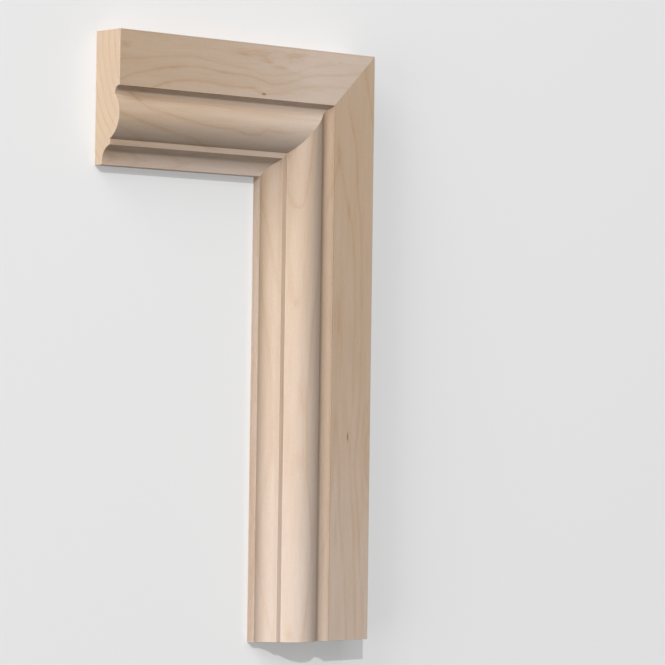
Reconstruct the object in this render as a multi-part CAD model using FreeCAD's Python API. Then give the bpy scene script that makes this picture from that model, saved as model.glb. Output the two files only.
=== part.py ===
import FreeCAD, Part
import math
import os

# Corner of a timber door architrave: a head length and a leg length of one moulding, mitred together.
# Sizes are in millimetres. The corner lies on its back: +X runs along the head to the mitre, +Y runs
# up the leg to the mitre and +Z points out of the moulded face. The origin is under the middle.

# Lengths along the outer edges
head_length = 178.0
leg_length = 322.0

# Stock that the moulding is cut from
width = 70.0
thickness = 20.0

# Moulded face, from the inner edge outwards, with each depth below the feature beside it
edge_flat = 1.1
cavetto_radius = 9.5
cavetto_depth = 6.9
fillet_width = 3.0
bead_radius = 14.5
bead_fall = 7.6
quirk_depth = 4.0
quirk_floor = 0.7
arris_radius = 0.4

# How far the mitre saw passes beyond the stock
saw_overrun = 5.0


def half_chord(radius, rise):
    # Half the chord of a circle, at the given distance below its crown
    return math.sqrt(radius ** 2 - (radius - rise) ** 2)


def arc_through(centre, radius, start_angle, end_angle):
    # Arc in the section plane, with angles in degrees from +X towards +Z
    def on_circle(angle):
        turn = math.radians(angle)
        return centre + FreeCAD.Vector(math.cos(turn), 0, math.sin(turn)) * radius

    middle_angle = (start_angle + end_angle) / 2
    return Part.Arc(on_circle(start_angle), on_circle(middle_angle), on_circle(end_angle))


def angle_to(centre, point):
    # Direction of a point seen from a centre, in degrees from +X towards +Z
    return math.degrees(math.atan2(point.z - centre.z, point.x - centre.x))


def moulding_section():
    # Section in the XZ plane, with the back on Z = 0, the outer edge on X = 0 and the inner on X = -width
    def point(x, z):
        return FreeCAD.Vector(x, 0, z)

    fillet_height = thickness - bead_fall
    edge_height = fillet_height - cavetto_depth

    # Cavetto: a hollow that starts level with the edge flat and climbs to the fillet
    cavetto_start = point(-width + edge_flat, edge_height)
    cavetto_centre = cavetto_start + point(0, cavetto_radius)
    cavetto_end = cavetto_start + point(half_chord(cavetto_radius, cavetto_depth), cavetto_depth)

    # Bead: one round between the fillet and the quirk, with its crown level with the flat band
    bead_start = cavetto_end + point(fillet_width, 0)
    bead_centre = point(bead_start.x + half_chord(bead_radius, bead_fall), thickness - bead_radius)
    bead_end = point(bead_centre.x + half_chord(bead_radius, quirk_depth), thickness - quirk_depth)

    # Quirk: a quarter hollow that falls square from the flat band to a narrow floor beside the bead
    quirk_start = bead_end + point(quirk_floor, 0)
    quirk_centre = quirk_start + point(0, quirk_depth)
    band_start = quirk_centre + point(quirk_depth, 0)

    # Eased arrises along the two outside corners of the face
    inner_arris_centre = point(-width + arris_radius, edge_height - arris_radius)
    inner_arris = arc_through(inner_arris_centre, arris_radius, 180, 90)
    outer_arris_centre = point(-arris_radius, thickness - arris_radius)
    outer_arris = arc_through(outer_arris_centre, arris_radius, 90, 0)

    cavetto = arc_through(cavetto_centre, cavetto_radius, -90, angle_to(cavetto_centre, cavetto_end))
    bead = arc_through(
        bead_centre, bead_radius, angle_to(bead_centre, bead_start), angle_to(bead_centre, bead_end)
    )
    quirk = arc_through(quirk_centre, quirk_depth, -90, 0)

    outline = [
        Part.LineSegment(point(0, 0), point(-width, 0)),
        Part.LineSegment(point(-width, 0), inner_arris.StartPoint),
        inner_arris,
        Part.LineSegment(inner_arris.EndPoint, cavetto_start),
        cavetto,
        Part.LineSegment(cavetto_end, bead_start),
        bead,
        Part.LineSegment(bead_end, quirk_start),
        quirk,
        Part.LineSegment(band_start, outer_arris.StartPoint),
        outer_arris,
        Part.LineSegment(outer_arris.EndPoint, point(0, 0)),
    ]
    return Part.Face(Part.Wire([edge.toShape() for edge in outline]))


def mitred_length(length):
    # Moulding that runs along -Y from a mitre with its long point at the origin to a square cut end
    stock = moulding_section().extrude(FreeCAD.Vector(0, -length, 0))
    inner = -width - saw_overrun
    waste_plan = Part.makePolygon(
        [
            FreeCAD.Vector(saw_overrun, saw_overrun, -saw_overrun),
            FreeCAD.Vector(inner, inner, -saw_overrun),
            FreeCAD.Vector(inner, saw_overrun, -saw_overrun),
            FreeCAD.Vector(saw_overrun, saw_overrun, -saw_overrun),
        ]
    )
    waste = Part.Face(waste_plan).extrude(FreeCAD.Vector(0, 0, thickness + 2 * saw_overrun))
    return stock.cut(waste).Solids[0]


def write_node(name, solid):
    # Places a length with the mitre's long point at the outer corner of the whole
    solid.translate(FreeCAD.Vector(head_length / 2, leg_length / 2, 0))
    solid.exportStep("parts/" + name + ".step")


os.makedirs("parts", exist_ok=True)

# The head is the leg's mirror image in the mitre, at its own length
mitre_normal = FreeCAD.Vector(1, -1, 0)
write_node("architrave_leg", mitred_length(leg_length))
write_node("architrave_head", mitred_length(head_length).mirror(FreeCAD.Vector(0, 0, 0), mitre_normal))
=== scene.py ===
import math

import bmesh
import bpy
from mathutils import Matrix, Vector


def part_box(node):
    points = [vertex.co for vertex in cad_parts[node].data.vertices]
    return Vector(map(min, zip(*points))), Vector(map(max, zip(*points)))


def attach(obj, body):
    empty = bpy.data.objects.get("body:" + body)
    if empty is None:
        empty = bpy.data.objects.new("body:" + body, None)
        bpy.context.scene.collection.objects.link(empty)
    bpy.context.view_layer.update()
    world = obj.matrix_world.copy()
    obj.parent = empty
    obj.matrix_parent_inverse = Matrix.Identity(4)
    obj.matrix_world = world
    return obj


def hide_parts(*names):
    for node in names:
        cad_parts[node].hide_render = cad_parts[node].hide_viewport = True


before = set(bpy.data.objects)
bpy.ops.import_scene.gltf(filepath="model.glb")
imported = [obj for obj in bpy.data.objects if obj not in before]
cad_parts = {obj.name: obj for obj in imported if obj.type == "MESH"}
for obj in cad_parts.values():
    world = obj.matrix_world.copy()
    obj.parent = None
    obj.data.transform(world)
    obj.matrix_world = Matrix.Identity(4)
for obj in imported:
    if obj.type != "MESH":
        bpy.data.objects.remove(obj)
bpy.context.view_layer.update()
scene = bpy.context.scene
scene.view_settings.view_transform = "Standard"
print("frame loaded:", sorted(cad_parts))

mm = 0.001  # shapes and patterns are worked out in millimetres, Blender's unit is the metre


def toLinear(hexColour):
    # sRGB hex to the linear colour that a shader socket takes
    parts = [int(hexColour[i:i + 2], 16) / 255 for i in (1, 3, 5)]
    return [p / 12.92 if p <= 0.04045 else ((p + 0.055) / 1.055) ** 2.4 for p in parts] + [1.0]


def setCurve(curveNode, points):
    # Puts given points on a float curve, flat beyond both ends
    mapping = curveNode.mapping
    mapping.use_clip = False
    mapping.extend = "HORIZONTAL"
    curve = mapping.curves[0]
    while len(curve.points) < len(points):
        curve.points.new(0.5, 0.5)
    for point, (x, y) in zip(curve.points, sorted(points)):
        point.location = (x, y)
        point.handle_type = "AUTO_CLAMPED"
    mapping.update()


def feed(tree, node, inputs):
    # Links or sets inputs, given by name or in their order. A node as input gives its first output
    given = inputs.items() if isinstance(inputs, dict) else enumerate(inputs)
    for key, value in given:
        if isinstance(value, bpy.types.Node):
            value = value.outputs[0]
        if isinstance(value, bpy.types.NodeSocket):
            tree.links.new(value, node.inputs[key])
        else:
            node.inputs[key].default_value = value


def addNode(tree, kind, inputs=(), points=None, **settings):
    # Adds a node with its settings and links, and with its points where it is a curve
    node = tree.nodes.new("ShaderNode" + kind)
    for key, value in settings.items():
        setattr(node, key, value)
    feed(tree, node, inputs)
    if points:
        setCurve(node, points)
    return node


def newMaterial(name):
    material = bpy.data.materials.new(name)
    material.use_nodes = True
    return material, material.node_tree, material.node_tree.nodes["Principled BSDF"]


# Moulded section, read from the leg's square foot so that the dressed lengths follow the solids

easing = {
    "arris": 0.15,  # mm, sanding on the section's sharp outside corners
    "arrisSteps": 3,  # facets round such a corner
    "cutEnd": 0.12,  # mm, sanding round the sawn ends, less than the arris so that the section doesn't fold
    "mitre": 0.07,  # mm, the fine line that is left along a tight mitre
    "ringStep": 8.0,  # mm between the mesh's rings along a length
    "sharpTurn": 35.0,  # degrees, a corner that turns more than this is not part of a round
    "wearReach": 0.5,  # mm beyond an eased corner over which its wear dies away
    "cornerWear": 0.2,  # wear along the section's corners, partly a painted highlight, where the sawn ends have 1
    "footReach": 0.01,  # mm from the foot that still counts as the foot
    "edgeReach": 0.5,  # mm in from either edge that still counts as that edge
}

legLow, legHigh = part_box("architrave_leg")
headLow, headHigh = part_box("architrave_head")
outerCorner = Vector((legHigh.x, headHigh.y, 0))
stockWidth = (legHigh.x - legLow.x) / mm
stockThickness = (legHigh.z - legLow.z) / mm
legLength = (legHigh.y - legLow.y) / mm
headLength = (headHigh.x - headLow.x) / mm


def readSection():
    # Points of the foot, from the back of the outer edge over the face to the back of the inner edge
    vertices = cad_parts["architrave_leg"].data.vertices
    foot = [v.co for v in vertices if v.co.y - legLow.y < easing["footReach"] * mm]
    points = {(round((legHigh.x - co.x) / mm, 3), round(co.z / mm, 3)) for co in foot}
    middle = stockWidth / 2
    ordered = sorted(points, key=lambda p: (p[0], p[1] if p[0] < middle else -p[1]))
    return [Vector(p) for p in ordered]


def easeCorners(points):
    # Rounds each sharp outside corner of the closed section by the arris radius, and says where it is worn
    radius = easing["arris"]
    steps = easing["arrisSteps"]
    eased = []
    worn = []
    for i, corner in enumerate(points):
        back = (points[i - 1] - corner).normalized()
        ahead = (points[(i + 1) % len(points)] - corner).normalized()
        turn = math.pi - back.angle(ahead)
        outside = back.x * ahead.y - back.y * ahead.x > 0
        if math.degrees(turn) < easing["sharpTurn"] or not outside:
            eased.append(corner)
            worn.append(0.0)
            continue
        centre = corner + (back + ahead).normalized() * radius / math.cos(turn / 2)
        spoke = corner + back * radius * math.tan(turn / 2) - centre
        wearEnd = radius * math.tan(turn / 2) + easing["wearReach"]
        if (points[i - 1] - corner).length > 2 * wearEnd:
            eased.append(corner + back * wearEnd)
            worn.append(0.0)
        for step in range(steps + 1):
            eased.append(centre + Matrix.Rotation(-turn * step / steps, 2) @ spoke)
            worn.append(easing["cornerWear"])
        if (points[(i + 1) % len(points)] - corner).length > 2 * wearEnd:
            eased.append(corner + ahead * wearEnd)
            worn.append(0.0)
    return eased, worn


def insetSection(points, distance):
    # The section drawn in by a distance, for the sanded edge round a sawn end
    drawnIn = []
    for i, point in enumerate(points):
        run = (points[(i + 1) % len(points)] - points[i - 1]).normalized()
        drawnIn.append(point + Vector((run.y, -run.x)) * distance)
    return drawnIn


section, sectionWear = easeCorners(readSection())
innerTop = max(p.y for p in section if p.x > stockWidth - easing["edgeReach"])
print("section points:", len(section))


def unwrapAcross(point):
    # Distance across the face that runs on down both edges, so that growth lines turn the corners
    if point.x < easing["edgeReach"]:
        return point.x - (stockThickness - point.y)
    if point.x > stockWidth - easing["edgeReach"]:
        return point.x + max(innerTop - point.y, 0)
    return point.x


def buildLength(name, length, place):
    # One mitred length as a closed mesh of rings, with the grain's own coordinates on its face corners
    bm = bmesh.new()
    grain = bm.loops.layers.float_vector.new("grain")
    arris = bm.verts.layers.float.new("arris")
    sawnRing = insetSection(section, easing["cutEnd"])
    mitreRing = insetSection(section, easing["mitre"])
    count = len(section)

    # Each ring: its section, its places along the length and its wear
    rings = [(sawnRing, [-length] * count, 1.0)]
    rings.append((section, [-length + easing["cutEnd"]] * count, 1.0))
    reached = -length + easing["cutEnd"] + easing["wearReach"]
    while reached < -stockWidth - easing["ringStep"]:
        rings.append((section, [reached] * count, 0.0))
        reached += easing["ringStep"]
    rings.append((section, [-p.x - easing["mitre"] for p in section], 0.0))
    rings.append((mitreRing, [-p.x for p in mitreRing], 0.0))

    made = []
    for points, alongs, worn in rings:
        ring = []
        for point, along, wear in zip(points, alongs, sectionWear):
            vertex = bm.verts.new(place(along, point.x, point.y))
            vertex[arris] = max(worn, wear)
            ring.append(vertex)
        made.append(ring)

    backStrip = count - 1  # the faces that close the section from its last point to its first
    for k in range(len(rings) - 1):
        for j in range(count):
            beside = (j + 1) % count
            corners = ((k, j), (k, beside), (k + 1, beside), (k + 1, j))
            face = bm.faces.new([made[ring][spot] for ring, spot in corners])
            face.smooth = True
            for loop, (ring, spot) in zip(face.loops, corners):
                point = rings[ring][0][spot]
                across = -stockThickness - point.x if j == backStrip else unwrapAcross(point)
                loop[grain] = (rings[ring][1][spot], across, point.y)

    for k in (0, -1):
        cap = bm.faces.new(made[k])
        cap.material_index = 1
        for loop, point, along in zip(cap.loops, rings[k][0], rings[k][1]):
            loop[grain] = (along, point.x, point.y)

    bmesh.ops.recalc_face_normals(bm, faces=bm.faces)
    mesh = bpy.data.meshes.new(name)
    bm.to_mesh(mesh)
    bm.free()
    mesh.set_sharp_from_angle(angle=math.radians(easing["sharpTurn"]))
    piece = bpy.data.objects.new(name, mesh)
    scene.collection.objects.link(piece)
    flats = piece.modifiers.new("flat faces stay flat", "WEIGHTED_NORMAL")
    flats.keep_sharp = True
    print(name, "faces:", len(mesh.polygons))
    return piece


def placeLeg(along, across, height):
    return outerCorner + Vector((-across, along, height)) * mm


def placeHead(along, across, height):
    return outerCorner + Vector((along, -across, height)) * mm


leg = buildLength("dressed_leg", legLength, placeLeg)
head = buildLength("dressed_head", headLength, placeHead)


# Planed hard maple, fresh from the moulder and sanded, with no finish on it.
# To the eye: a pale tan to pinkish ground, fine fibres along the length, soft brown growth lines in long
# arches, brown mottles and pin knots, and a dull satin sheen with no clear reflection.

maple = {
    "tan": "#C0A88F",  # ground colour of the browner stretches
    "stain": "#EFDFCE",  # multiplies the ground in growth lines, mottles and dark fibres
    "knot": "#7A4828",
    "arris": "#E2D2C2",  # paler arrises, partly sanding wear and partly a painted highlight
    "arrisWearAndHighlight": 0.3,
    "paintedShade": "#C9C4BE",  # painted shade: multiplies the ground in hollows, corners and shaded flanks
    "ior": 1.5,
    "roughness": 0.52,
    "sheenFibre": 0.16,  # how far the fibres change the roughness
    "sheenLine": 0.05,  # how much smoother a growth line is
    # Growth line with the fainter lines that go before it: share of the reach, strength
    "lineProfile": ((0.0, 0.0), (0.2, 0.02), (0.3, 0.12), (0.37, 0.03), (0.46, 0.06), (0.53, 0.2),
                    (0.58, 0.14), (0.64, 0.36), (0.69, 0.78), (0.73, 0.92), (0.77, 0.8), (0.83, 0.36),
                    (0.9, 0.08), (1.0, 0.0)),
    "lineReach": 9.0,  # mm that the profile covers
    "linePlace": 0.73,  # share of the reach where the line is strongest
    "lineWander": 1.4,  # mm that a line strays from its course
    "lineFeather": 1.6,  # mm that the fibres pull it out
    "arch": 5.0,  # mm over which an arch rounds its tip
    "swirlWander": 1.0,  # the same for swirls, in shares of their half width
    "swirlFeather": 0.5,
    # Growth lines on the edges and the back: share of the spacing, strength
    "ringProfile": ((0.0, 0.0), (0.45, 0.06), (0.64, 0.3), (0.75, 1.0), (0.84, 0.3), (0.93, 0.0), (1.0, 0.0)),
    "ringPlace": 0.75,  # share of the spacing where the line is strongest
    "edgeRing": 4.4,  # mm between growth lines on the edges, as on the cut end
    "backRing": 11.0,  # mm between growth lines on the back
    "ringWander": 1.6,  # in shares of the spacing
    "ringStrength": 0.6,
    # Growth lines fade where this noise is low
    "fade": {"From Min": 0.36, "From Max": 0.58, "To Min": 0.68},
    "paleMottle": 0.5,  # how far the ground's clouds change its paleness
    # Stain on the plain ground, and how far each kind of streak changes it
    "brownGround": 0.25,
    "brownStreaks": {"shade": 0.65, "fibre": 0.5, "fleck": 0.5},
    # Mottles and knots end at their rims, in shares of their half size, and are frayed by this much
    "mottleRim": 1.2,
    "mottleFeather": 1.8,
    "mottleShare": 0.75,  # how strongly mottles stain
    "knotRim": 1.3,
    "knotCore": 0.3,  # a knot has its whole strength within this
    "knotFibre": 0.6,
    "fibreHeight": 0.05,  # mm of relief, drawn about four times too strong so that it shows
    "reliefLine": 0.5,  # growth lines stand proud and flecks are sunk, in shares of that height
    "reliefFleck": 0.4,
    "bump": 0.5,  # strength of all relief
    # Each pattern: length along the grain in mm, width across it in mm, detail
    "patterns": {
        "wander": (26.0, 6.0, 2.0),
        "feather": (6.0, 1.0, 3.0),
        "mottle": (70.0, 8.0, 3.0),
        "shade": (30.0, 3.0, 3.0),
        "fibre": (9.0, 0.5, 4.0),  # fibres and flecks are drawn several times too wide so that they show
        "fleck": (1.8, 0.7, 2.0),
        "fade": (30.0, 9.0, 2.0),
    },
}

# Each length is a board of its own. Places along it run from the sawn end up to 0 at the mitre's outer
# corner, and places across it from 0 at the outer edge, all in mm

headTimber = {
    "length": headLength,
    "seed": 3.0,
    "pale": "#D4C3B5",  # ground colour of the paler, pinker stretches
    # Paleness along the length, and across the face, where it is partly painted light and shade: place, share
    "paleAlong": ((-178, 0.06), (-150, 0.19), (-120, 0.32), (-75, 0.6), (-45, 0.93), (-25, 1.15), (0, 1.2)),
    "paleAndPaintedShadingAcross": ((0, 0.05), (28, 0.02), (29, 0.15), (29.8, 0.45), (31, 0.4), (32.5, 0.2), (34, -0.03),
                   (37, 0.04), (42, 0.08), (44, 0.06), (48, 0.14), (52, 0.36), (55.5, 0.42), (56.5, 0.2),
                   (58, 0.32), (59.4, 0.15), (60, 0.3), (62.5, 0.35), (64, 0.85), (68, 0.65), (69.3, 0.6),
                   (70, 1.1)),
    # Clearness of the growth lines along the length: place, share
    "linesAlong": ((-178, 1.0), (-110, 1.0), (-85, 0.78), (-50, 0.6), (0, 0.55)),
    # Painted shade across the face, darker in the hollows, corners and shaded flanks: place, amount
    "paintedShade": ((-1.0, 0.0), (-0.3, 0.28), (0.4, 0.28), (1.2, 0.0), (33.5, 0.0), (35, 0.12), (38, 0.12),
             (41, 0.04), (43, 0.0), (57, 0.0), (57.2, 0.1), (59.4, 0.08), (60, 0.0), (70, 0.0)),
    # Growth lines of each moulding, traced: strength, then places along and across
    "regions": {
        "band": {
            "reach": (0.0, 31.5),
            "fold": None,
            "lines": (
                (0.42, ((-178, 16), (-157, 13.3), (-142, 11.4), (-129, 10.6), (-116, 12), (-93, 13.8),
                        (-78, 16.3), (-62, 14.5), (-50, 11), (-35, 7.5), (0, 5))),
                (0.72, ((-178, 26.2), (-167, 22.3), (-153, 18.9), (-140, 17), (-123, 15.9), (-108, 17.2),
                        (-91, 17.8), (-82, 19.5), (-74, 20.8), (-65, 19.5), (-54, 16.3), (-43, 13.8),
                        (-27, 12.5), (0, 9))),
                (0.6, ((-178, 38), (-160, 31), (-150, 26.6), (-140, 24.2), (-121, 23.2), (-106, 24.2),
                       (-90, 24.2), (-80, 26.4), (-70, 25.6), (-60, 23.2), (-49, 20.6), (-34, 19.1),
                       (0, 19))),
            ),
        },
        "bead": {
            "reach": (31.5, 58.3),
            "fold": None,
            "lines": (
                (0.66, ((-178, 28), (-168, 32), (-164, 35), (-159, 39.2), (-146, 42), (-129, 44.9),
                        (-112, 46.7), (-101, 47.1), (-89, 49), (-82, 48.6), (-77, 45.8), (-72, 46.2),
                        (-65, 46.7), (-54, 45.2), (0, 44))),
                (0.6, ((-178, 43.5), (-167, 45.8), (-153, 49), (-140, 51.4), (-127, 53.3), (-118, 55.8),
                       (-90, 62), (0, 70))),
                (0.38, ((-178, 50), (-167, 53.3), (-159, 55.8), (-140, 62), (0, 80))),
                (0.30, ((-178, 31), (-150, 34.6), (-120, 35), (-90, 36.5), (-60, 38), (0, 40))),
            ),
        },
        "cavetto": {
            "reach": (58.3, 75.0),
            "fold": (66.5, 1.0),  # arches close on this line, with far arms this many times closer to it
            "lines": (
                (0.35, ((-178, 62.5), (-173, 64.5), (-168, 66.8), (-160, 72), (0, 110))),
                (0.35, ((-178, 60), (-162, 62.6), (-155, 64.6), (-149, 66.8), (-138, 72), (0, 110))),
                (0.35, ((-178, 57), (-140, 61.6), (-128, 64), (-121, 66.8), (-108, 72), (0, 110))),
            ),
        },
    },
    # Swirls, pin knots, brown mottles and spots of painted shade, each an oval:
    # strength, centre along and across, half length, half width
    "swirls": ((0.28, -70.5, 7.4, 8.5, 4.2),),
    "knots": ((0.8, -80.2, 26.8, 1.6, 0.65), (0.13, -25.3, 5.4, 1.5, 0.6)),
    "mottles": (
        (0.75, -95.0, 5.8, 9.0, 2.4), (0.65, -83.0, 5.0, 7.0, 2.2), (0.65, -78.0, 9.0, 6.0, 1.8),
        (0.7, -68.0, 11.8, 7.0, 1.6), (0.75, -57.0, 4.4, 10.0, 2.4), (0.85, -174.5, 8.0, 6.0, 2.2),
        (0.55, -147.0, 26.0, 6.0, 1.6), (0.6, -163.5, 35.5, 3.0, 2.0), (0.6, -88.0, 23.8, 6.0, 0.9),
        (0.4, -171.0, 65.8, 4.0, 1.4), (0.4, -150.0, 66.0, 3.0, 1.4), (0.3, -122.0, 66.0, 4.0, 1.2),
        (0.55, -178.0, 64.5, 26.0, 6.0),
    ),
    "paintedShadeSpots": (),
}

legTimber = {
    "length": legLength,
    "seed": 11.0,
    "pale": "#D0C0B4",
    "paleAlong": ((-322, 0.77), (-290, 0.7), (-240, 0.55), (-190, 0.34), (-140, 0.25), (-90, 0.18),
                  (0, 0.15)),
    # Across the face the paleness is partly painted light and shade
    "paleAndPaintedShadingAcross": ((0, -0.06), (28, -0.07), (34, 0.13), (37.5, 0.45), (40, 0.45), (44, 0.27), (50, 0.27),
                   (52, 0.2), (54, 0.12), (56, 0.12), (58.5, 0.2), (60, 0.2), (61.5, 0.24), (63, 0.1),
                   (67, 0.1), (69.8, 0.0), (70.4, 0.75)),
    "linesAlong": ((-322, 0.8), (-250, 0.8), (-120, 0.88), (0, 0.95)),
    # Painted shade across the face; less than none on the fillet keeps the spot of painted shade off it
    "paintedShade": ((0, 0.0), (28.6, 0.0), (29.1, 0.66), (30.5, 0.54), (31.5, 0.42), (32.6, 0.26), (33.6, 0.8),
             (35, 0.75), (36, 0.46), (37, 0.06), (38, 0.0), (51, 0.0), (54, 0.08), (56.6, 0.2), (57.0, -0.4),
             (59.4, -0.4), (59.9, 0.35), (61, 0.25), (62, 0.2), (64, 0.08), (67, 0.18), (69, 0.42),
             (69.8, 0.55)),
    "regions": {
        "band": {
            "reach": (0.0, 31.5),
            "fold": (26.0, 1.4),
            "lines": (
                (0.45, ((-322, -30), (-80, -8), (-50, -2), (-33, 1.6), (-20, 4.4), (-11, 6.3), (0, 9))),
                (0.48, ((-322, 3.4), (-301, 4.4), (-282, 6.3), (-245, 9.1), (-226, 11.4), (-218, 10.9),
                        (-207, 9.1), (-188, 8.2), (-151, 7.4), (-123, 7.8), (-95, 9.1), (-75, 11.4),
                        (-52, 12.9), (-41, 15.7), (-29, 18.5), (-10, 20.5), (0, 22))),
                (0.48, ((-322, 9), (-292, 10), (-263, 11.4), (-239, 13.8), (-222, 14.4), (-207, 14.6),
                        (-196, 13), (-168, 13.1), (-142, 12.5), (-118, 13.3), (-97, 15.2), (-86, 18),
                        (-80, 19.5), (-67, 22.7), (-56, 25.1), (-46, 28), (0, 44))),
                (0.45, ((-322, 15.6), (-297, 17), (-275, 18.9), (-264, 20.6), (-245, 21.9), (-215, 23.2),
                        (-190, 24.6), (-160, 24.2), (-145, 23.7), (-133, 24.6), (-120, 27), (-100, 32),
                        (0, 60))),
            ),
        },
        "bead": {
            "reach": (31.5, 58.3),
            "fold": (53.0, 1.5),
            "lines": (
                (0.55, ((-322, 85), (-100, 60), (-92, 55.4), (-88, 52.4), (-84, 49.6), (-75, 47.7),
                        (-63, 45.8), (-44, 43.9), (0, 38))),
                (0.18, ((-322, 85), (-152, 60), (-145, 56), (-140, 53.3), (-136, 50.5), (-118, 48.6),
                        (-95, 45.8), (-86, 43.9), (-60, 41), (0, 34))),
                (0.55, ((-322, 46.7), (-301, 44.9), (-286, 43), (-271, 41.5), (-258, 42.6), (-245, 43.9),
                        (-231, 45.4), (-214, 46.2), (-198, 46.7), (-179, 45.5), (-160, 44.2), (-142, 42),
                        (-123, 39.2), (-105, 36.4), (0, 30))),
            ),
        },
        "cavetto": {
            "reach": (58.3, 80.0),
            "fold": None,
            "lines": (
                (0.35, ((-322, 50), (-145, 57.5), (-133, 59.5), (-118, 61.8), (-105, 63.7), (-95, 65.5),
                        (-82, 68.4), (0, 82))),
                (0.35, ((-322, 74), (-270, 69.5), (-245, 65.5), (-231, 63.3), (-215, 61.8), (-196, 62.4),
                        (-170, 62.9), (-153, 64.6), (-133, 67.4), (0, 84))),
                (0.3, ((-322, 60.5), (-308, 62.7), (-292, 65.5), (-270, 69.5), (0, 100))),
            ),
        },
    },
    "swirls": ((0.45, -221.0, -1.5, 18.0, 4.8), (0.35, -221.0, -1.5, 32.0, 8.0)),
    "knots": ((0.68, -210.6, 16.7, 2.6, 0.65),),
    "mottles": (
        (0.55, -55.0, 25.6, 9.0, 2.6), (0.45, -86.0, 17.8, 9.0, 1.8), (0.26, -140.0, 24.6, 30.0, 3.0),
        (0.4, -160.0, 22.0, 22.0, 1.2), (0.5, -220.5, 1.2, 3.0, 1.6), (0.5, -210.6, 16.6, 9.0, 0.8),
        (0.35, -224.0, 50.5, 7.0, 4.0), (0.3, -190.0, 49.5, 12.0, 3.0), (0.6, -138.0, 52.5, 4.0, 1.6),
        (0.5, -318.0, 53.5, 6.0, 2.0), (0.5, -262.0, 25.0, 12.0, 1.2), (0.75, -245.0, 74.0, 165.0, 5.0),
    ),
    # Painted shade on the leg below the head, near the mitre's inner corner
    "paintedShadeSpots": ((0.5, -58.0, 57.5, 75.0, 15.0),),
}


def stir(tree, value, *parts, clamp=False):
    # Adds noises to a value, each by an amount that lies half above the value and half below it
    for noise, amount in parts:
        value = addNode(tree, "Math", (noise, amount, value), operation="MULTIPLY_ADD")
    middle = sum(amount for noise, amount in parts) / 2
    return addNode(tree, "Math", (value, middle), operation="SUBTRACT", use_clamp=clamp)


def spotReach(tree, grain, spot, *frays):
    # Distance from the middle of an oval spot, 1 on its rim, frayed by noises
    along, across, halfLong, halfWide = spot[1:]
    scale = (1 / halfLong, 1 / halfWide, 0.0)
    place = (-along / halfLong, -across / halfWide, 0.0)
    oval = addNode(tree, "Mapping", {"Vector": grain, "Scale": scale, "Location": place})
    distance = addNode(tree, "VectorMath", (oval,), operation="LENGTH").outputs["Value"]
    return stir(tree, distance, *frays)


def spotShare(tree, grain, spot, rim, core, *frays):
    # A spot's strength, whole inside its core and gone at its rim
    reach = spotReach(tree, grain, spot, *frays)
    fall = {"Value": reach, "From Min": rim, "From Max": core, "To Max": spot[0]}
    return addNode(tree, "MapRange", fall, interpolation_type="SMOOTHSTEP")


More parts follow.
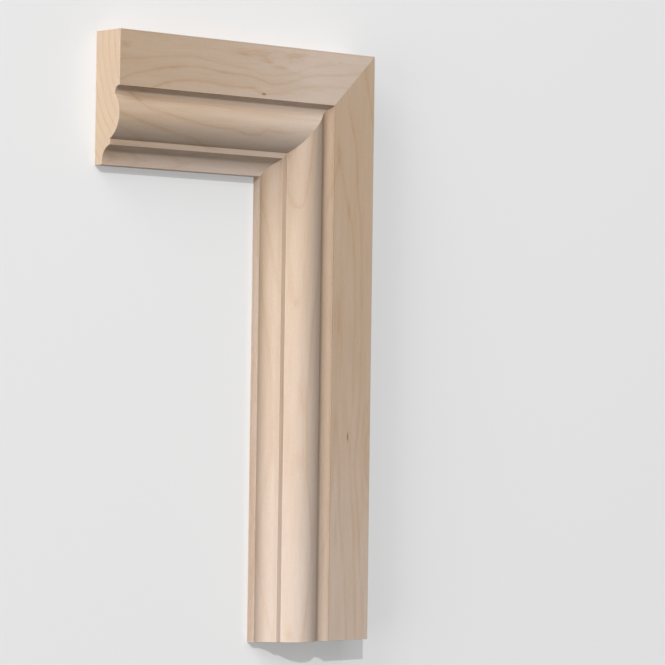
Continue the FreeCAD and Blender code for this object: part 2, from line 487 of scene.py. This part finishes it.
def planedMaple(name, timber):
    material, tree, shader = newMaterial(name)
    length = timber["length"]
    grain = addNode(tree, "Attribute", attribute_name="grain").outputs["Vector"]
    axes = addNode(tree, "SeparateXYZ", (grain,))
    along = axes.outputs[0]
    across = axes.outputs[1]
    alongShare = addNode(tree, "Math", (along, 1 / length, 1.0), operation="MULTIPLY_ADD")
    acrossShare = addNode(tree, "Math", (across, 1 / stockWidth), operation="MULTIPLY")

    def varyAlong(course):
        points = [(1 + a / length, value) for a, value in course]
        return addNode(tree, "FloatCurve", {"Value": alongShare}, points)

    def varyAcross(course):
        points = [(u / stockWidth, value) for u, value in course]
        return addNode(tree, "FloatCurve", {"Value": acrossShare}, points)

    # Streaky noises, each stretched along the grain to its own size
    noise = {}
    for number, (pattern, (long, wide, detail)) in enumerate(maple["patterns"].items()):
        scale = (1 / long, 1 / wide, 0.0)
        place = (0.0, 0.0, timber["seed"] + number)
        stretched = addNode(tree, "Mapping", {"Vector": grain, "Scale": scale, "Location": place})
        noise[pattern] = addNode(tree, "TexNoise", {"Vector": stretched, "Scale": 1.0, "Detail": detail})

    # Growth lines wander about their traced courses, and fibres feather them
    strays = ((noise["wander"], maple["lineWander"]), (noise["feather"], maple["lineFeather"]))
    steady = stir(tree, across, *strays)
    growth = 0.0
    for region in timber["regions"].values():
        spread = steady
        if region["fold"]:
            axis, closeness = region["fold"]
            beyond = addNode(tree, "Math", (steady, axis), operation="SUBTRACT")
            beyond = addNode(tree, "Math", (beyond, 0.0, maple["arch"]), operation="SMOOTH_MAX")
            spread = addNode(tree, "Math", (beyond, -1 - closeness, steady), operation="MULTIPLY_ADD")
        after = addNode(tree, "Math", (across, region["reach"][0]), operation="GREATER_THAN")
        before = addNode(tree, "Math", (across, region["reach"][1]), operation="LESS_THAN")
        inside = addNode(tree, "Math", (after, before), operation="MULTIPLY")
        for strength, course in region["lines"]:
            line = varyAlong([(a, u / stockWidth) for a, u in course])
            gap = addNode(tree, "Math", (line, -stockWidth, spread), operation="MULTIPLY_ADD")
            gapShare = (gap, 1 / maple["lineReach"], maple["linePlace"])
            gap = addNode(tree, "Math", gapShare, operation="MULTIPLY_ADD")
            shown = addNode(tree, "FloatCurve", {"Value": gap}, maple["lineProfile"])
            shown = addNode(tree, "Math", (shown, inside), operation="MULTIPLY")
            growth = addNode(tree, "Math", (shown, strength, growth), operation="MULTIPLY_ADD")

    # Swirls are uneven rings of the same lines
    for spot in timber["swirls"]:
        frays = ((noise["wander"], maple["swirlWander"]), (noise["feather"], maple["swirlFeather"]))
        reach = spotReach(tree, grain, spot, *frays)
        gapScale = spot[-1] / maple["lineReach"]
        gapShare = (reach, gapScale, maple["linePlace"] - gapScale)
        gap = addNode(tree, "Math", gapShare, operation="MULTIPLY_ADD")
        shown = addNode(tree, "FloatCurve", {"Value": gap}, maple["lineProfile"])
        growth = addNode(tree, "Math", (shown, spot[0], growth), operation="MULTIPLY_ADD")

    # Closer lines run down both edges, and wider ones over the back
    onOuter = addNode(tree, "Clamp", (steady, -stockThickness, 0.0))
    onBack = addNode(tree, "Math", (steady, stockThickness), operation="ADD")
    onBack = addNode(tree, "Math", (onBack, 0.0), operation="MINIMUM")
    onInner = addNode(tree, "Math", (steady, stockWidth), operation="SUBTRACT")
    onInner = addNode(tree, "Math", (onInner, 0.0), operation="MAXIMUM")
    rings = addNode(tree, "Math", (onOuter, onInner), operation="ADD")
    rings = addNode(tree, "Math", (rings, 1 / maple["edgeRing"]), operation="MULTIPLY")
    rings = addNode(tree, "Math", (onBack, 1 / maple["backRing"], rings), operation="MULTIPLY_ADD")
    rings = addNode(tree, "Math", (noise["mottle"], maple["ringWander"], rings), operation="MULTIPLY_ADD")
    rings = addNode(tree, "Math", (rings,), operation="FRACT")
    rings = addNode(tree, "FloatCurve", {"Value": rings}, maple["ringProfile"])
    pastOuter = addNode(tree, "Math", (across, 0.0), operation="LESS_THAN")
    pastInner = addNode(tree, "Math", (across, stockWidth), operation="GREATER_THAN")
    offFace = addNode(tree, "Math", (pastOuter, pastInner), operation="ADD")
    rings = addNode(tree, "Math", (rings, offFace), operation="MULTIPLY")
    growth = addNode(tree, "Math", (rings, maple["ringStrength"], growth), operation="MULTIPLY_ADD")

    # Some stretches have clearer lines than others, and lines fade here and there
    growth = addNode(tree, "Math", (growth, varyAlong(timber["linesAlong"])), operation="MULTIPLY")
    fade = addNode(tree, "MapRange", {"Value": noise["fade"], **maple["fade"]})
    growth = addNode(tree, "Math", (growth, fade), operation="MULTIPLY", use_clamp=True)

    # Ground colour: paler and browner stretches with clouds between them, and painted light and shade across
    # the face
    paleAlong = varyAlong(timber["paleAlong"])
    pale = addNode(tree, "Math", (paleAlong, varyAcross(timber["paleAndPaintedShadingAcross"])), operation="ADD")
    pale = stir(tree, pale, (noise["mottle"], maple["paleMottle"]), clamp=True)
    colour = addNode(tree, "MixRGB", (pale, toLinear(maple["tan"]), toLinear(timber["pale"])))

    # Growth lines, mottles and the darker fibres stain it
    streaks = [(noise[pattern], amount) for pattern, amount in maple["brownStreaks"].items()]
    brown = stir(tree, maple["brownGround"], *streaks)
    for spot in timber["mottles"]:
        fray = (noise["feather"], maple["mottleFeather"])
        patch = spotShare(tree, grain, spot, maple["mottleRim"], 0.0, fray)
        brown = addNode(tree, "Math", (patch, maple["mottleShare"], brown), operation="MULTIPLY_ADD")
    brown = addNode(tree, "Math", (growth, brown), operation="ADD", use_clamp=True)
    colour = addNode(tree, "MixRGB", (brown, colour, toLinear(maple["stain"])), blend_type="MULTIPLY")
    for spot in timber["knots"]:
        fray = (noise["fibre"], maple["knotFibre"])
        patch = spotShare(tree, grain, spot, maple["knotRim"], maple["knotCore"], fray)
        colour = addNode(tree, "MixRGB", (patch, colour, toLinear(maple["knot"])))

    # Painted shade in the hollows, corners and shaded flanks, and arrises paled partly by sanding wear and
    # partly by a painted highlight
    paintedShade = varyAcross(timber["paintedShade"])
    for spot in timber["paintedShadeSpots"]:
        patch = spotShare(tree, grain, spot, 1.0, 0.0)
        paintedShade = addNode(tree, "Math", (paintedShade, patch), operation="ADD", use_clamp=True)
    colour = addNode(tree, "MixRGB", (paintedShade, colour, toLinear(maple["paintedShade"])), blend_type="MULTIPLY")
    arris = addNode(tree, "Attribute", attribute_name="arris").outputs["Fac"]
    arris = addNode(tree, "Math", (arris, maple["arrisWearAndHighlight"]), operation="MULTIPLY")
    colour = addNode(tree, "MixRGB", (arris, colour, toLinear(maple["arris"])))

    # Sheen and relief follow the fibres, and the hard growth lines are a little smoother and stand proud
    sheen = stir(tree, maple["roughness"], (noise["fibre"], maple["sheenFibre"]))
    sheen = addNode(tree, "Math", (growth, -maple["sheenLine"], sheen), operation="MULTIPLY_ADD")
    relief = addNode(tree, "Math", (growth, maple["reliefLine"], noise["fibre"]), operation="MULTIPLY_ADD")
    relief = addNode(tree, "Math", (noise["fleck"], -maple["reliefFleck"], relief), operation="MULTIPLY_ADD")
    lift = {"Height": relief, "Strength": maple["bump"], "Distance": maple["fibreHeight"] * mm}
    bump = addNode(tree, "Bump", lift)
    feed(tree, shader, {"Base Color": colour, "Roughness": sheen, "Normal": bump, "IOR": maple["ior"]})
    return material


# Sawn and sanded end grain of the same maple.
# To the eye: warmer and more orange than the planed face, because the cut fibres drink in light, with
# growth rings as clear orange-brown arcs, fine pores, and faint rays that cross the rings.

endGrain = {
    "ground": "#BDA68E",
    "ring": "#A9835F",
    "ray": "#C6B29C",
    "roughness": 0.68,
    # Each cut: pith across and above the back in mm, a ring's radius in mm, mm between rings
    "head": {"pith": (0.0, 84.0), "firstRing": 79.0, "spacing": 5.0, "seed": 5.0},
    "leg": {"pith": (28.0, 120.0), "firstRing": 101.0, "spacing": 4.4, "seed": 9.0},
    "ringWander": 3.6,  # mm that a ring strays, over wanderSize mm
    "wanderSize": 9.09,
    "ringShare": {"From Min": 0.35, "From Max": 0.62, "To Min": 0.1, "To Max": 0.4},  # clearer in some clouds
    "cloudSize": 14.29,  # mm
    "cloudShade": 0.14,
    "raysPerRadian": 260.0,  # 0.3 to 0.5 mm apart on the cuts, a little coarser than real so that they show
    "rayLength": 8.33,  # mm
    "rayShare": {"From Min": 0.5, "From Max": 0.72, "To Max": 0.35},
    "pore": 0.3,  # mm, drawn about four times too large so that it shows
    "poreDepth": 0.06,  # mm
    "poreShade": 0.14,
    "poreSheen": 0.2,  # how far the pores change the roughness
    "reliefRing": 0.4,  # rings stand proud, in shares of the pores' depth
}


def sawnMapleEnd(name, cut):
    material, tree, shader = newMaterial(name)
    grain = addNode(tree, "Attribute", attribute_name="grain").outputs["Vector"]
    axes = addNode(tree, "SeparateXYZ", (grain,))
    onCut = addNode(tree, "CombineXYZ", (axes.outputs[1], axes.outputs[2], cut["seed"]))

    # Rings about a pith that lies in front of the face
    fromPith = addNode(tree, "VectorMath", (onCut, (*cut["pith"], cut["seed"])), operation="SUBTRACT")
    radius = addNode(tree, "VectorMath", (fromPith,), operation="LENGTH").outputs["Value"]
    wander = addNode(tree, "TexNoise", {"Vector": onCut, "Scale": 1 / endGrain["wanderSize"], "Detail": 3.0})
    radius = addNode(tree, "Math", (wander, endGrain["ringWander"], radius), operation="MULTIPLY_ADD")
    firstRing = cut["firstRing"] + endGrain["ringWander"] / 2
    ring = addNode(tree, "Math", (radius, firstRing), operation="SUBTRACT")
    ring = addNode(tree, "Math", (ring, 1 / cut["spacing"], maple["ringPlace"]), operation="MULTIPLY_ADD")
    ring = addNode(tree, "Math", (ring,), operation="FRACT")
    ring = addNode(tree, "FloatCurve", {"Value": ring}, maple["ringProfile"])

    # Rays cross the rings, pores speckle the ground
    parts = addNode(tree, "SeparateXYZ", (fromPith,))
    angle = addNode(tree, "Math", (parts.outputs[0], parts.outputs[1]), operation="ARCTAN2")
    rayTurn = addNode(tree, "Math", (angle, endGrain["raysPerRadian"]), operation="MULTIPLY")
    rayRun = addNode(tree, "Math", (radius, 1 / endGrain["rayLength"]), operation="MULTIPLY")
    raySpot = addNode(tree, "CombineXYZ", (rayTurn, rayRun))
    rays = addNode(tree, "TexNoise", {"Vector": raySpot, "Scale": 1.0, "Detail": 2.0})
    pores = addNode(tree, "TexNoise", {"Vector": onCut, "Scale": 1 / endGrain["pore"], "Detail": 2.0})
    clouds = addNode(tree, "TexNoise", {"Vector": onCut, "Scale": 1 / endGrain["cloudSize"], "Detail": 3.0})

    share = addNode(tree, "MapRange", {"Value": rays, **endGrain["rayShare"]})
    colour = addNode(tree, "MixRGB", (share, toLinear(endGrain["ground"]), toLinear(endGrain["ray"])))
    share = addNode(tree, "MapRange", {"Value": clouds, **endGrain["ringShare"]})
    share = addNode(tree, "Math", (ring, share), operation="MULTIPLY")
    colour = addNode(tree, "MixRGB", (share, colour, toLinear(endGrain["ring"])))
    shade = stir(tree, 1.0, (pores, endGrain["poreShade"]), (clouds, endGrain["cloudShade"]))
    colour = addNode(tree, "VectorMath", {0: colour, "Scale": shade}, operation="SCALE")

    sheen = stir(tree, endGrain["roughness"], (pores, endGrain["poreSheen"]))
    relief = addNode(tree, "Math", (ring, endGrain["reliefRing"], pores), operation="MULTIPLY_ADD")
    lift = {"Height": relief, "Strength": maple["bump"], "Distance": endGrain["poreDepth"] * mm}
    bump = addNode(tree, "Bump", lift)
    feed(tree, shader, {"Base Color": colour, "Roughness": sheen, "Normal": bump, "IOR": maple["ior"]})
    return material


head.data.materials.append(planedMaple("planed maple, head", headTimber))
head.data.materials.append(sawnMapleEnd("sawn maple end, head", endGrain["head"]))
leg.data.materials.append(planedMaple("planed maple, leg", legTimber))
leg.data.materials.append(sawnMapleEnd("sawn maple end, leg", endGrain["leg"]))
print("materials:", [m.name for m in bpy.data.materials if "maple" in m.name])

for piece, node, slot in ((head, "architrave_head", "head_timber"), (leg, "architrave_leg", "leg_timber")):
    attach(piece, "root")
    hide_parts(node)


# Stage: a matt pale floor that keeps the shadow, soft lamps, and the camera

stage = {
    "floorColour": "#C2C2C2",
    "floorRoughness": 0.9,
    "floorSpecular": 0.1,
    "floorGlow": 0.295,  # share of white that only the camera, reflections and glass see
    "floorSize": 12.0,  # m
    "floorDrop": 0.05,  # mm below the object's back
    "aim": (0.03, 0.0, 0.0),  # m, where the lamps point
    # Each lamp: place in m, size in m, power in W
    "lamps": {
        "key upper left": ((-3.2, 3.1, 1.2), (3.2, 2.0), 160.0),
        "left": ((-4.8, -0.4, 1.5), (2.8, 2.0), 100.0),
        "above": ((-0.3, 1.5, 2.0), (1.8, 1.3), 11.5),
        "right fill": ((4.0, -0.5, 2.5), (2.6, 2.2), 11.0),
        "overhead": ((0.2, 0.7, 2.0), (1.5, 1.5), 2.2),
    },
    "sunEnergy": 1.62,
    "sunAngle": 1.2,  # degrees across, which sets how sharp the shadows are
    "sunFrom": (-0.75, 0.66, 1.0),
    "roomLight": 0.05,  # even white light from all round
}
white = (1, 1, 1, 1)

# Matt painted board. To the eye: an even pale grey with no reflections
floorMaterial, tree, paint = newMaterial("matt painted board")
rays = addNode(tree, "LightPath").outputs
seen = addNode(tree, "Math", (rays["Is Camera Ray"], rays["Is Glossy Ray"]), operation="ADD")
seen = addNode(tree, "Math", (seen, rays["Is Transmission Ray"]), operation="ADD", use_clamp=True)
glow = addNode(tree, "Math", (seen, stage["floorGlow"]), operation="MULTIPLY")
feed(tree, paint, {
    "Base Color": toLinear(stage["floorColour"]),
    "Roughness": stage["floorRoughness"],
    "Specular IOR Level": stage["floorSpecular"],
    "Emission Color": white,
    "Emission Strength": glow,
})

bpy.ops.mesh.primitive_plane_add(size=stage["floorSize"], location=(0, 0, -stage["floorDrop"] * mm))
floor = bpy.context.object
floor.name = "floor"
floor.data.materials.append(floorMaterial)

for name, (place, size, power) in stage["lamps"].items():
    lamp = bpy.data.lights.new(name, "AREA")
    lamp.shape = "RECTANGLE"
    lamp.size, lamp.size_y = size
    lamp.energy = power
    holder = bpy.data.objects.new(name, lamp)
    scene.collection.objects.link(holder)
    holder.location = place
    holder.rotation_euler = (Vector(place) - Vector(stage["aim"])).to_track_quat("Z", "Y").to_euler()
    holder.visible_camera = False

sun = bpy.data.lights.new("sun", "SUN")
sun.energy = stage["sunEnergy"]
sun.angle = math.radians(stage["sunAngle"])
sunHolder = bpy.data.objects.new("sun", sun)
scene.collection.objects.link(sunHolder)
sunHolder.rotation_euler = Vector(stage["sunFrom"]).to_track_quat("Z", "Y").to_euler()

scene.world = bpy.data.worlds.new("dim room")
scene.world.use_nodes = True
room = scene.world.node_tree.nodes["Background"]
feed(scene.world.node_tree, room, {"Color": white, "Strength": stage["roomLight"]})
print("lamps:", len(stage["lamps"]) + 1)

view = {
    "stands": (-1065.2, -29.7, 1289.1),  # mm, where the camera is
    "aim": (77.95, 8.02, 0.0),  # mm, the middle of the picture on the floor
    "lean": 1.036,  # degrees that the picture's upright leans from +Y
    "lens": 167.95,  # mm
    "sensor": 36.0,  # mm
}

camera = bpy.data.cameras.new("camera")
camera.lens = view["lens"]
camera.sensor_width = view["sensor"]
cameraHolder = bpy.data.objects.new("camera", camera)
scene.collection.objects.link(cameraHolder)
look = (Vector(view["aim"]) - Vector(view["stands"])).normalized()
upright = Matrix.Rotation(math.radians(view["lean"]), 3, "Z") @ Vector((0, 1, 0))
sideways = look.cross(upright).normalized()
turn = Matrix((sideways, sideways.cross(look), -look)).transposed().to_4x4()
cameraHolder.matrix_world = Matrix.Translation(Vector(view["stands"]) * mm) @ turn
scene.camera = cameraHolder
print("camera set")
